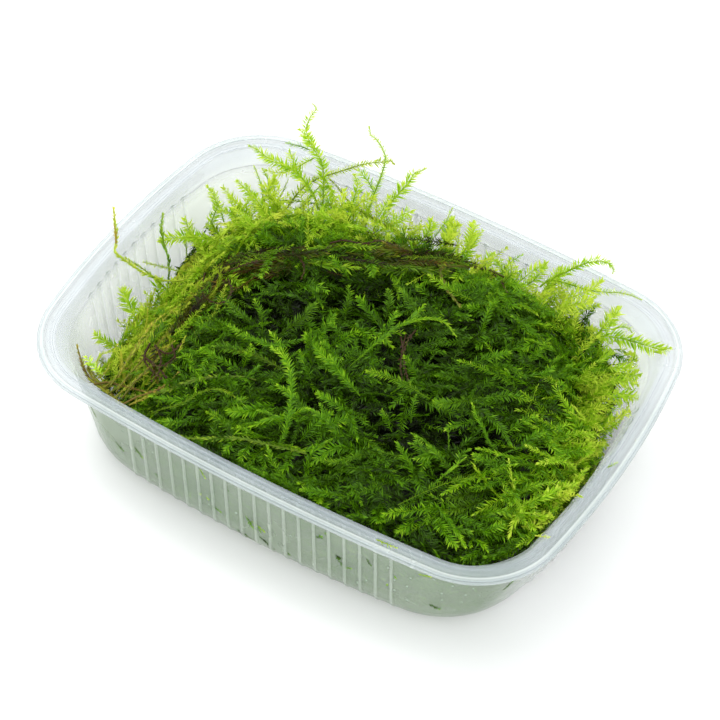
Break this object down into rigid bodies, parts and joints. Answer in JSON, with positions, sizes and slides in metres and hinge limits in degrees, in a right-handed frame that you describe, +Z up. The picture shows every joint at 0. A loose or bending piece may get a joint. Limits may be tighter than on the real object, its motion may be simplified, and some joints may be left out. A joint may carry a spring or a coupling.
{
  "type": "moss clump",
  "caption": "Loose clump of wet, leafy water moss filling a clear rectangular plastic tub with ribbed walls, its bright shoots rising above the rim at the back and sides.",
  "frame": {"origin": "centre of the tub's flat base, on the surface it stands on", "axes": "+X along the tub's long sides, +Y towards the long side where the moss stands highest, +Z up"},
  "size_m": [0.179, 0.133, 0.0691],
  "materials": {
    "tub_plastic": "thin translucent polypropylene, faintly milky, satin to glossy",
    "moss_green": "wet dark to mid green leaves over olive depths, glossy with water",
    "moss_fresh": "fresh yellow-green leaves, wet, light shows through them",
    "old_stem": "bare olive-brown stems, damp, faint gloss"
  },
  "bodies": {
    "root": {"tub": "tub_plastic", "moss_mat": "moss_green", "shoot_back_tall": "moss_fresh", "shoot_back_left_fan": "moss_fresh", "shoot_back_slim": "moss_fresh", "shoot_back_brown_tip": "moss_fresh", "shoot_back_right_fan": "moss_fresh", "shoot_back_short": "moss_fresh", "shoot_upper_left_a": "moss_fresh", "shoot_upper_left_b": "moss_fresh", "shoot_upper_left_c": "moss_fresh", "shoot_left_long": "moss_fresh", "shoot_left_short": "moss_fresh", "shoot_left_low_a": "moss_fresh", "shoot_left_low_b": "moss_fresh", "shoot_right_hook": "moss_fresh", "shoot_right_long": "moss_fresh", "shoot_right_over_rim": "moss_fresh", "shoot_right_fan": "moss_fresh", "shoot_right_low_a": "moss_fresh", "shoot_right_low_b": "moss_fresh", "shoot_right_leaf": "moss_fresh", "shoot_rear_a": "moss_fresh", "shoot_rear_b": "moss_fresh", "shoot_rear_c": "moss_fresh", "shoot_rear_d": "moss_fresh", "shoot_rear_e": "moss_fresh", "shoot_rear_f": "moss_fresh", "stem_left_yellow_tip": "old_stem", "stem_left_upright": "old_stem", "stem_left_wall": "old_stem", "stem_front_left": "old_stem", "stem_front": "old_stem", "stem_over_mat": "old_stem"}
  },
  "joints": []
}
